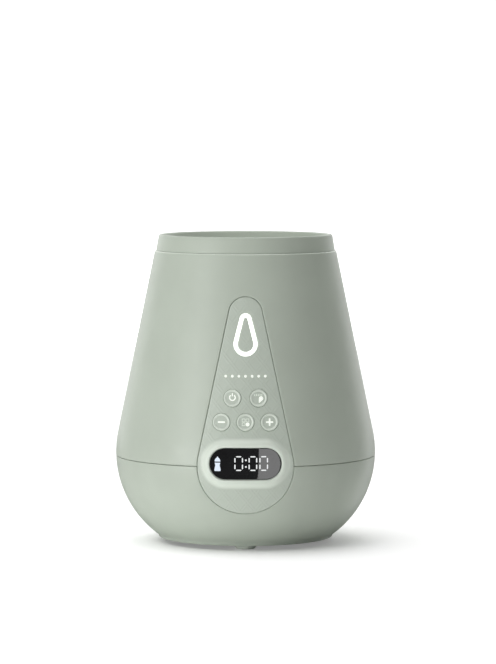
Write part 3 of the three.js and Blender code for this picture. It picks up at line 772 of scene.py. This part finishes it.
def panel_plastic_painted_glow():
    """The keys' plastic with painted glow: paler and emitting light round the window, and a fainter glow over
    the rest of the panel.
    """
    m = Material("panel_plastic_painted_glow")
    x, _, z = m.node("ShaderNodeSeparateXYZ", {0: m.place}).outputs
    half = (WINDOW_WIDTH - WINDOW_HEIGHT) / 2 * MM

    def math(operation, first, second=0.0):
        return m.node("ShaderNodeMath", {0: first, 1: second}, operation=operation).outputs[0]

    across = math("MAXIMUM", math("SUBTRACT", math("ABSOLUTE", x), half))
    up = math("SUBTRACT", z, WINDOW_Z * MM)
    away = math("SQRT", math("ADD", math("POWER", across, 2.0), math("MULTIPLY", up, up)))
    # Mask of the painted glow: full within 3.2 mm of the window, fading out over the next 2.4 mm.
    start = WINDOW_HEIGHT / 2 + 3.2
    glow = m.node(
        "ShaderNodeMapRange",
        {"Value": away, "From Min": start * MM, "From Max": (start + 2.4) * MM, "To Min": 1.0, "To Max": 0.0},
        interpolation_type="SMOOTHSTEP",
    ).outputs["Result"]
    m.colour(glow, shade(PALE_SAGE, 0.92), PAINTED_HIGHLIGHT_SAGE)
    m.roughness(m.noise(3, 3), 0.37, 0.45)
    m.bump([m.noise(0.22, 2), m.noise(0.6, 1)], 0.14, 0.03)
    m.shader.inputs["Emission Color"].default_value = (*PAINTED_HIGHLIGHT_SAGE, 1)
    # Painted glow: BEZEL_GLOW round the window, PANEL_GLOW over the rest of the panel.
    strength = math("ADD", math("MULTIPLY", glow, BEZEL_GLOW - PANEL_GLOW), PANEL_GLOW)
    m.links.new(strength, m.shader.inputs["Emission Strength"])
    return m.material


panel.data.materials.append(panel_plastic_painted_glow())


def on_panel(name, shapes, top, under, material, body, nodes=(), rounding=0.0, step=0.5):
    """A piece made of plates that follow the panel's surface. A shape may be a pair, with its holes."""
    bm = bmesh.new()
    for shape in shapes:
        outer, holes = shape if isinstance(shape, tuple) else (shape, ())
        plate(bm, outer, on_front, top, under, holes, rounding, step)
    return make(name, bm, material, body, nodes)


def grown(shape, by):
    return Hull((shape.a, shape.ra + by), (shape.b, shape.rb + by))


light_guide = on_panel(
    "light_guide",
    [(grown(LIGHT_OUTER, -0.12), [grown(LIGHT_INNER, 0.12)])],
    lambda x, z: -0.14,
    lambda x, z: 1.25,
    lit_white,
    "housing",
    ["light_guide"],
    rounding=0.35,
    step=0.4,
)

GLASS_PROUD = 0.2
display_window = on_panel(
    "display_window",
    [grown(WINDOW, -0.2)],
    lambda x, z: -GLASS_PROUD,
    lambda x, z: 1.6,
    black_window,
    "housing",
    ["display_window"],
    rounding=0.3,
    step=0.7,
)

# Seven-segment digits, a colon and a bottle mark that shine through the window

DIGIT_HEIGHT, DIGIT_WIDTH, SEGMENT = 7.8, 4.6, 0.63
DISPLAY_Z = WINDOW_Z + 0.3
CORNER_GAP, MIDDLE_GAP = 0.55, 0.46
DIGIT_MIDDLES = (-3.6, 3.9, 9.6)
COLON_X = 0.2


def bar(x1, z1, x2, z2, width):
    """A display segment: a bar along x or z with pointed ends."""
    half = width / 2
    if z1 == z2:
        return Polygon(
            [(x1, z1), (x1 + half, z1 - half), (x2 - half, z1 - half), (x2, z1)]
            + [(x2 - half, z1 + half), (x1 + half, z1 + half)]
        )
    return Polygon(
        [(x1, z1), (x1 + half, z1 + half), (x1 + half, z2 - half), (x1, z2)]
        + [(x1 - half, z2 - half), (x1 - half, z1 + half)]
    )


def zero(middle):
    """The six outer segments of a digit."""
    half_w, half_h = (DIGIT_WIDTH - SEGMENT) / 2, (DIGIT_HEIGHT - SEGMENT) / 2
    x1, x2 = middle - half_w, middle + half_w
    parts = []
    for side in (-1, 1):
        z = DISPLAY_Z + side * half_h
        parts.append(bar(x1 + CORNER_GAP, z, x2 - CORNER_GAP, z, SEGMENT))
        x = middle + side * half_w
        for low, high in ((MIDDLE_GAP, half_h - CORNER_GAP), (CORNER_GAP - half_h, -MIDDLE_GAP)):
            parts.append(bar(x, DISPLAY_Z + low, x, DISPLAY_Z + high, SEGMENT))
    return parts


def proud(x, z):
    return -GLASS_PROUD - 0.03


def sunk(x, z):
    return -GLASS_PROUD + 0.05


digits = [part for middle in DIGIT_MIDDLES for part in zero(middle)]
digits += [circle(COLON_X, DISPLAY_Z + s * 1.75, 0.5) for s in (-1, 1)]
on_panel("clock_digits", digits, proud, sunk, lit_digit, "housing")

BOTTLE_X = -14.8
TEAT = [(0.18, 3.6), (0.3, 3.1), (0.75, 2.8), (1.22, 2.2), (1.45, 1.6), (1.48, 0.95)]
FLASK = [(1.48, 0.35), (1.3, -0.3), (1.15, -1.1), (1.38, -2.1), (1.66, -3.2), (1.58, -3.9), (1.25, -4.1)]


def mirrored(half):
    """A symmetrical outline round the bottle's axis, from its right half."""
    right = [(BOTTLE_X + a, DISPLAY_Z + b) for a, b in half]
    left = [(BOTTLE_X - a, DISPLAY_Z + b) for a, b in reversed(half)]
    return Polygon(right + left)


bottle_mark = [mirrored(TEAT), mirrored(FLASK)]
on_panel("bottle_mark", bottle_mark, proud, sunk, lit_bottle, "housing")

# A generic row of dots under the light, where a maker would print a name

DOT_Z, DOT_PITCH, DOT_RADIUS = 95, 3.5, 0.75
dots = [circle(i * DOT_PITCH, DOT_Z, DOT_RADIUS) for i in range(-3, 4)]
on_panel(
    "dot_row",
    dots,
    lambda x, z: -0.16,
    lambda x, z: 0.3,
    lit_mark,
    "housing",
    rounding=0.25,
    step=0.2,
)

# ---- Push keys --------------------------------------------------------------------------------------

LIP_RADIUS, DISH_RADIUS, DISH_DEPTH = 4.0, 3.2, 0.42
FLANGE_RADIUS, STEM_RADIUS, KEY_EDGE = 5.6, 1.8, 0.45


def key_depth(r):
    """Depth of a key's face at a distance from its middle: a rounded lip round a shallow dish."""
    dish = DISH_DEPTH * (1 - smooth((r - DISH_RADIUS) / (LIP_RADIUS - DISH_RADIUS)))
    return -KEY_PROUD + dish + round_edge(KEY_RADIUS - r, KEY_EDGE)


def slope_point(x, z, depth):
    """A point depth behind the flat plane that touches the cone's front line."""
    base = Vector((x, -skin(SLOPE_Z), SLOPE_Z))
    up = Vector((0, sin(TAPER), cos(TAPER)))
    inward = Vector((0, cos(TAPER), -sin(TAPER)))
    return base + up * ((z - SLOPE_Z) / cos(TAPER)) + inward * depth


def key(name, x, z):
    """A key's cap follows the panel's surface. Its flange and stem are square to the press."""
    segments = 96
    reach = abs(x) + FLANGE_RADIUS
    r_here = skin(z)
    flange = 2.2 + (r_here - sqrt(r_here**2 - reach**2)) * cos(TAPER) + 0.45
    face = [DISH_RADIUS * i / 8 for i in range(1, 9)]
    face += [DISH_RADIUS + (LIP_RADIUS - DISH_RADIUS) * i / 6 for i in range(1, 7)]
    face += [KEY_RADIUS - d for d in reversed(insets(KEY_EDGE, 5)) if KEY_RADIUS - d > LIP_RADIUS]
    behind = [(KEY_RADIUS, flange), (FLANGE_RADIUS, flange), (FLANGE_RADIUS, flange + 0.8)]
    behind += [(STEM_RADIUS, flange + 0.8), (STEM_RADIUS, 6.6)]
    bm = bmesh.new()

    def lay(r, a, depth=None):
        px, pz = x + r * cos(a), z + r * sin(a)
        if depth is None:
            return on_front(px, pz, key_depth(r) - 0.3 * quilt(px, pz))
        return slope_point(px, z + r * sin(a) * cos(TAPER), depth)

    angles = [2 * pi * i / segments for i in range(segments)]
    rings = [[bm.verts.new(lay(0, 0))]]
    rings += [[bm.verts.new(lay(r, a)) for a in angles] for r in face]
    rings += [[bm.verts.new(lay(r, a, d)) for a in angles] for r, d in behind]
    rings.append([bm.verts.new(lay(0, 0, 6.6))])
    for ring, (first, second) in enumerate(zip(rings, rings[1:])):
        # Faces on the lip take the second material: a painted highlight round each key.
        on_lip = ring < len(face) and DISH_RADIUS + 0.25 < face[ring] < KEY_RADIUS - 0.1
        for i in range(segments):
            j = (i + 1) % segments
            corners = [first[i % len(first)], first[j % len(first)]]
            corners += [second[j % len(second)], second[i % len(second)]]
            bm.faces.new(list(dict.fromkeys(corners))).material_index = int(on_lip)
    piece = make(f"{name}_key", bm, key_face_painted_glow, f"{name}_key", [f"{name}_key"])
    piece.data.materials.append(key_lip_painted_highlight)
    return piece


def ring_arc(x, z, radius, width, start, end):
    """A curved stroke as a polygon."""
    outer = arc((x, z), radius + width / 2, start, end, 0.12)
    inner = arc((x, z), radius - width / 2, end, start, 0.12)
    return Polygon(outer + inner)


def square(x, z, half, width):
    """A hollow square with its hole."""
    corners = [(-1, -1), (1, -1), (1, 1), (-1, 1)]
    outer = Polygon([(x + half * a, z + half * b) for a, b in corners])
    inner = Polygon([(x + (half - width) * a, z + (half - width) * b) for a, b in corners])
    return outer, [inner]


ICON_LINE = 0.62


def power_icon(x, z):
    gap = radians(38)
    return [
        ring_arc(x, z + 0.3, 1.5, ICON_LINE, pi / 2 + gap, 2.5 * pi - gap),
        stroke(x, z + 1.2, x, z + 2.3, ICON_LINE),
    ]


def plus_icon(x, z):
    thin, far = 0.42, 1.9
    corners = [(thin, far), (thin, thin), (far, thin)]
    corners += [(far, -thin), (thin, -thin), (thin, -far)]
    corners += [(-a, -b) for a, b in corners]
    return [Polygon([(x + a, z + b) for a, b in corners])]


def minus_icon(x, z):
    return [stroke(x - 1.55, z, x + 1.55, z, 0.85)]


def program_icon(x, z):
    small = [square(x + a, z + b, 0.88, 0.28) for a, b in ((-1.02, 1.02), (1.02, 1.02), (-1.02, -1.02))]
    return small


def program_fill(x, z):
    return [circle(x + 1.1, z - 1.1, 1.0)]


def defrost_icon(x, z):
    return [Hull(((x + 1.25, z - 0.2), 1.15), ((x + 0.35, z - 2.1), 0.3))]


def defrost_trim(x, z):
    return [stroke(x - 2.1 + 0.95 * i, z + 1.25, x - 2.1 + 0.95 * i, z + 1.95, 0.4) for i in range(5)]


ICONS = {
    "power": [(power_icon, lit_mark)],
    "defrost": [(defrost_icon, lit_mark), (defrost_trim, faint_mark)],
    "minus": [(minus_icon, lit_mark)],
    "program": [(program_icon, faint_mark), (program_fill, lit_mark)],
    "plus": [(plus_icon, lit_mark)],
}

for name, (x, z) in KEYS.items():
    key(name, x, z)

    def face_depth(px, pz):
        return key_depth(hypot(px - x, pz - z))

    for i, (icon, material) in enumerate(ICONS[name]):
        on_panel(
            f"{name}_icon_{i + 1}",
            icon(x, z),
            lambda px, pz: face_depth(px, pz) - 0.07,
            lambda px, pz: face_depth(px, pz) + 0.1,
            material,
            f"{name}_key",
            step=0.2,
        )

# ---- Base, feet and screws ----------------------------------------------------------------------------

FOOT_RADIUS, FOOT_REACH, SCREW_REACH = 6, 38.6, 40
FOOT_TURNS = {"front_foot": -90, "rear_right_foot": 30, "rear_left_foot": 150}
SCREW_TURNS = {"base_screw_1": 90, "base_screw_2": 210, "base_screw_3": 330}


def ray(degrees, reach=FOOT_REACH):
    return reach * cos(radians(degrees)), reach * sin(radians(degrees))


def upright(a, b, level):
    """Places a prism's outline in x and y, with its length along z."""
    return a, b, level


def drill(x, y, radius, start, end):
    return prism(arc((x, y), radius, 0, 2 * pi, 0.3)[:-1], upright, start, end)


base_cover = turned(
    "base_cover",
    [
        (0, FOOT_HEIGHT, 0),
        (skin(LIP_Z) - LIP_WALL - GAP, FOOT_HEIGHT, 0.35),
        (skin(LIP_Z) - LIP_WALL - GAP, LOWER_RIM_Z - GAP, 0.2),
        (43.2, LOWER_RIM_Z - GAP, 0),
        (43.2, 5.4, 0.3),
        (0, 5.4, 0),
    ],
    sage,
    "housing",
    ["base_cover"],
    segments=192,
)
openings = [drill(*ray(d), FOOT_RADIUS + GAP, 0, FOOT_HEIGHT + 0.7) for d in FOOT_TURNS.values()]
for degrees in SCREW_TURNS.values():
    openings.append(drill(*ray(degrees, SCREW_REACH), 3.4, 0, 4.6))
    openings.append(drill(*ray(degrees, SCREW_REACH), 1.7, 4, 9))
for x in range(-16, 17, 4):
    slot_end = 11 - abs(x) / 4
    openings.append(prism(stroke(x, -slot_end, x, slot_end, 2).outline(0, 0.3), upright, 0, 9))
cut(base_cover, openings)

for name, degrees in FOOT_TURNS.items():
    r = FOOT_RADIUS
    turned(
        name,
        [(0, 0, 0), (r - 1.1, 0, 0.9), (r, 1.2, 1.0), (r, 3, 0.1), (0, 3, 0)],
        silicone,
        "housing",
        [name],
        segments=64,
        offset=(*ray(degrees), 0),
    )

SCREW_HEAD, SCREW_HEAD_HEIGHT, SCREW_SHANK = 3, 1.5, 1.3
for name, degrees in SCREW_TURNS.items():
    x, y = ray(degrees, SCREW_REACH)
    seat = FOOT_HEIGHT + 0.2
    shank_z = SCREW_HEAD_HEIGHT + 9
    screw = turned(
        name,
        [
            (0, 0, 0),
            (SCREW_HEAD, 0, 0.6),
            (SCREW_HEAD, SCREW_HEAD_HEIGHT, 0.1),
            (SCREW_SHANK, SCREW_HEAD_HEIGHT, 0),
            (SCREW_SHANK, shank_z, 0.5),
            (0, shank_z, 0),
        ],
        steel,
        "housing",
        [name],
        segments=48,
        offset=(x, y, seat),
    )
    arms = [stroke(x - a, y - b, x + a, y + b, 0.8) for a, b in ((1.7, 0), (0, 1.7))]
    cut(screw, [prism(s.outline(0, 0.2), upright, seat - 1, seat + 0.9) for s in arms])

# ---- Well and basket ----------------------------------------------------------------------------------

turned(
    "heating_well",
    [
        (0, 70, 0),
        (39.2, 70, 6),
        (39.2, 144.3, 0.6),
        (43.4, 144.3, 0.3),
        (43.4, 145.7, 0.3),
        (38, 145.7, 1.2),
        (38, 71.2, 4.8),
        (0, 71.2, 0),
    ],
    aluminium,
    "housing",
    ["heating_well"],
    segments=192,
)
turned(
    "well_seal",
    [(39.7, 146, 0.4), (43.2, 146, 0.2), (42.2, 147.6, 0.3), (39.7, 147.6, 0.4)],
    milky_silicone,
    "housing",
    ["well_seal"],
    segments=128,
)

BASKET_OUTER, BASKET_INNER, BASKET_FLOOR, BASKET_TOP, EAR_TOP = 36.8, 35.2, 73.5, 138, 162
EAR_WIDTH = 18
basket = turned(
    "lift_basket",
    [
        (0, BASKET_FLOOR, 0),
        (29, BASKET_FLOOR, 0.3),
        (29, BASKET_FLOOR - 1.5, 0.3),
        (31, BASKET_FLOOR - 1.5, 0.3),
        (31, BASKET_FLOOR, 0.3),
        (BASKET_OUTER, BASKET_FLOOR, 4),
        (BASKET_OUTER, EAR_TOP, 0.3),
        (BASKET_INNER, EAR_TOP, 0.3),
        (BASKET_INNER, BASKET_FLOOR + 1.8, 3),
        (0, BASKET_FLOOR + 1.8, 0),
    ],
    basket_plastic,
    "basket",
    ["lift_basket"],
    segments=144,
)


def across_front(a, b, level):
    """Places a prism's outline in x and z, with its length along y."""
    return a, level, b


def ear_gap(side):
    """What is cut away beside the ears: everything above the rim, with rounded corners at the ears."""
    half, top, rim = EAR_WIDTH / 2, EAR_TOP + 1, BASKET_TOP
    outline = [(45, rim), (45, top), (half, top), (half, rim + 4)]
    outline += [(half + 4 - 4 * cos(a), rim + 4 - 4 * sin(a)) for a in (pi / 8, pi / 4, 3 * pi / 8)]
    outline += [(half + 4, rim)]
    return prism([(side * a, b) for a, b in outline], across_depth, -50, 50)


def across_depth(a, b, level):
    """Places a prism's outline in y and z, with its length along x."""
    return level, a, b


slots = []
for i in range(8):
    turn_by = Matrix.Rotation(2 * pi * (i + 0.5) / 8, 3, "Z")
    window = stroke(0, 88, 0, 120, 11)
    tool = prism(window.outline(0, 0.6), across_depth, 25, 45)
    bmesh.ops.rotate(tool, cent=(0, 0, 0), matrix=turn_by, verts=tool.verts)
    slots.append(tool)
    hole = turn_by @ Vector((21, 0, 0))
    slots.append(drill(hole.x, hole.y, 3, 60, 90))
cut(basket, [ear_gap(-1), ear_gap(1)] + slots)
lips = []
for side in (-1, 1):
    half = EAR_WIDTH / 2
    outline = [(side * (BASKET_INNER + 0.2), -half), (side * (BASKET_INNER + 2), -half)]
    outline += [(side * (BASKET_INNER + 3.4), -half + 1.6), (side * (BASKET_INNER + 3.4), half - 1.6)]
    outline += [(side * (BASKET_INNER + 2), half), (side * (BASKET_INNER + 0.2), half)]
    lips.append(prism(outline, upright, EAR_TOP - 1.6, EAR_TOP))
cut(basket, lips, "UNION")

# ---- Mains inlet ----------------------------------------------------------------------------------------

INLET_Z, INLET_WIDTH, INLET_HEIGHT, INLET_BACK = 36, 22, 15, 54


def inlet():
    """The socket's body follows the shell's surface; its recess takes a figure-8 plug."""
    corner = 2.2
    half_w, half_h = INLET_WIDTH / 2 - corner, INLET_HEIGHT / 2 - corner
    spots = [(half_w, half_h), (-half_w, half_h), (-half_w, -half_h), (half_w, -half_h)]
    outline = []
    for i, (a, b) in enumerate(spots):
        outline += arc((a, INLET_Z + b), corner, i * pi / 2, (i + 1) * pi / 2, 0.5)
    bm = prism(outline, across_front, INLET_BACK, 74)
    piece = make("power_inlet", bm, black_plastic, "housing", ["power_inlet"])
    shape = [(0, 20)] + [(skin(z) + 0.5, z) for z in range(20, 53, 2)] + [(0, 52)]
    rounder = bmesh.new()
    turn(rounder, shape, 360)
    cut(piece, [rounder], "INTERSECT")
    recess = stroke(-3.1, INLET_Z, 3.1, INLET_Z, 8.2)
    holes = [drill_back(side * 4.3, 1.5, 50, 62) for side in (-1, 1)]
    return cut(piece, [prism(recess.outline(0, 0.4), across_front, 59.1, 80)] + holes)


def drill_back(x, radius, start, end):
    return prism(arc((x, INLET_Z), radius, 0, 2 * pi, 0.3)[:-1], across_front, start, end)


inlet()
half_w, half_h, corner = 11.3, 7.8, 2.4
outline = []
for i, (a, b) in enumerate([(1, 1), (-1, 1), (-1, -1), (1, -1)]):
    centre = (a * (half_w - corner), INLET_Z + b * (half_h - corner))
    outline += arc(centre, corner, i * pi / 2, (i + 1) * pi / 2, 0.5)
cut(lower_shell, [prism(outline, across_front, 50, 90)])

# ---- CAD nodes that stay: finer materials ---------------------------------------------------------------

KEPT = {
    solder_mask: ["control_board", "display_board", "power_board"],
    carrier_plastic: ["well_carrier"],
    aluminium: ["heater_plate"],
    steel: ["heater_clamp", "clamp_screw_1", "clamp_screw_2", "temperature_sensor"],
    brass: ["heater_terminal_live", "heater_terminal_neutral", "inlet_pin_live", "inlet_pin_neutral"],
    gap_pad_material: ["thermal_pad"],
    black_plastic: ["display_module", "thermal_cutout", "heater_relay", "bulk_capacitor", "buzzer"]
    + [f"{name}_switch" for name in KEYS],
    yellow_tape: ["transformer"],
    blue_case: ["suppression_capacitor"],
    milky_silicone: ["fuse"],
    basket_plastic: ["mains_terminal", "ribbon_header"],
    lit_white: ["light_led_1", "light_led_2", "light_led_3"],
    insulated("red_insulation", (160, 40, 36)): ["heater_wire_live"],
    insulated("brown_insulation", (92, 60, 36)): ["inlet_wire_live"],
    insulated("blue_insulation", (40, 68, 140)): ["inlet_wire_neutral"],
    insulated("white_insulation", (226, 226, 220)): ["heater_wire_neutral", "sensor_wire", "ribbon_cable"],
}
for material, names in KEPT.items():
    for name in names:
        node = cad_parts[name]
        node.data.materials.clear()
        node.data.materials.append(material)


# ---- Studio -------------------------------------------------------------------------------------------

SCENE = bpy.context.scene
SCENE.view_settings.view_transform = "Standard"


def studio_surface(name, corners, colour, emission=0.0):
    mesh = bpy.data.meshes.new(name)
    mesh.from_pydata(corners, [], [(0, 1, 2, 3)])
    surface = bpy.data.objects.new(name, mesh)
    SCENE.collection.objects.link(surface)
    m = Material(name, Roughness=0.7)
    m.shader.inputs["Specular IOR Level"].default_value = 0.0
    m.colour(m.noise(300), shade(colour, 0.995), colour)
    if emission:
        m.shader.inputs["Emission Color"].default_value = (1, 1, 1, 1)
        m.shader.inputs["Emission Strength"].default_value = emission
    mesh.materials.append(m.material)
    return surface


FLOOR_NEAR, FLOOR_FAR, FLOOR_HALF = -0.85, 1.5, 1.8
BOUNCE_DEPTH = 0.0005
FLOOR_WHITE, BOUNCE_GREY, FLOOR_GLOW = (0.9, 0.9, 0.9), (0.95, 0.95, 0.95), 0.22


def level_plane(z):
    near, far, half = FLOOR_NEAR, FLOOR_FAR, FLOOR_HALF
    return [(-half, near, z), (half, near, z), (half, far, z), (-half, far, z)]


# The camera sees a white floor. The greyer one under it is the one that lights the warmer from below.
floor_plane = studio_surface("floor", level_plane(0), FLOOR_WHITE, FLOOR_GLOW)
floor_plane.visible_diffuse = floor_plane.visible_glossy = floor_plane.visible_shadow = False
bounce_plane = studio_surface("bounce_floor", level_plane(-BOUNCE_DEPTH), BOUNCE_GREY)
bounce_plane.visible_camera = bounce_plane.visible_glossy = bounce_plane.visible_shadow = False
backdrop = studio_surface(
    "backdrop",
    [
        (-FLOOR_HALF, FLOOR_FAR, -0.02),
        (FLOOR_HALF, FLOOR_FAR, -0.02),
        (FLOOR_HALF, FLOOR_FAR, 2.4),
        (-FLOOR_HALF, FLOOR_FAR, 2.4),
    ],
    (0.8, 0.8, 0.8),
    emission=1.0,
)

TARGET = Vector((0, 0, 0.09))


def softbox(name, azimuth, elevation, distance, size, power, only=None, colour=(1, 1, 1)):
    """An area light aimed at the warmer. Azimuth 0 is in front of it, and 90 to its right."""
    data = bpy.data.lights.new(name, "AREA")
    data.shape = "RECTANGLE"
    data.size, data.size_y = size
    data.energy = power
    data.color = colour
    light = bpy.data.objects.new(name, data)
    SCENE.collection.objects.link(light)
    a, e = radians(azimuth), radians(elevation)
    away = Vector((sin(a) * cos(e), -cos(a) * cos(e), sin(e)))
    light.location = TARGET + away * distance
    light.rotation_mode = "QUATERNION"
    light.rotation_quaternion = away.to_track_quat("Z", "Y")
    light.visible_camera = False
    if only:
        group = bpy.data.collections.new(name + "_receivers")
        for piece in only:
            group.objects.link(piece)
        light.light_linking.receiver_collection = group
    return light


warmer_only = [piece for piece in SCENE.objects if piece.type == "MESH"]
for stage_piece in (floor_plane, bounce_plane, backdrop):
    warmer_only.remove(stage_piece)
but_window = [piece for piece in warmer_only if piece != display_window]
softbox("key", -50, 2, 1.2, (0.45, 0.6), 5.9, only=but_window)
softbox("fill", -25, 2, 1.2, (0.45, 0.6), 0.9, only=but_window)
softbox("rim_right", 140, -15, 1.2, (0.4, 0.6), 1.1, only=but_window)
softbox("rim_left", -140, -15, 1.2, (0.4, 0.6), 0.3, only=but_window)
softbox("top", -10, 85, 1.0, (1.0, 1.0), 6.6, only=but_window)
softbox("floor_light", -70, 74, 1.7, (2.6, 2.6), 48, only=[floor_plane, bounce_plane])
softbox("window_light", 23.0, -6, 1.0, (0.42, 1.1), 6, only=[display_window])

world = bpy.data.worlds.new("studio")
world.use_nodes = True
world.node_tree.nodes["Background"].inputs["Color"].default_value = (1, 1, 1, 1)
world.node_tree.nodes["Background"].inputs["Strength"].default_value = 0.04
SCENE.world = world

CAMERA_DISTANCE, CAMERA_HEIGHT, CAMERA_PITCH, CAMERA_LENS = 1.942, 0.2435, radians(3.8054), 192.7
CAMERA_SIDE = 2.4 / 3554.3  # tangent of the angle that puts the warmer a little left of centre
camera_data = bpy.data.cameras.new("camera")
camera_data.sensor_width = 36
camera_data.lens = CAMERA_LENS
camera_data.clip_end = 20
camera = bpy.data.objects.new("camera", camera_data)
camera.location = (CAMERA_DISTANCE * CAMERA_SIDE, -CAMERA_DISTANCE, CAMERA_HEIGHT)
camera.rotation_euler = (pi / 2 - CAMERA_PITCH, 0, 0)
SCENE.collection.objects.link(camera)
SCENE.camera = camera
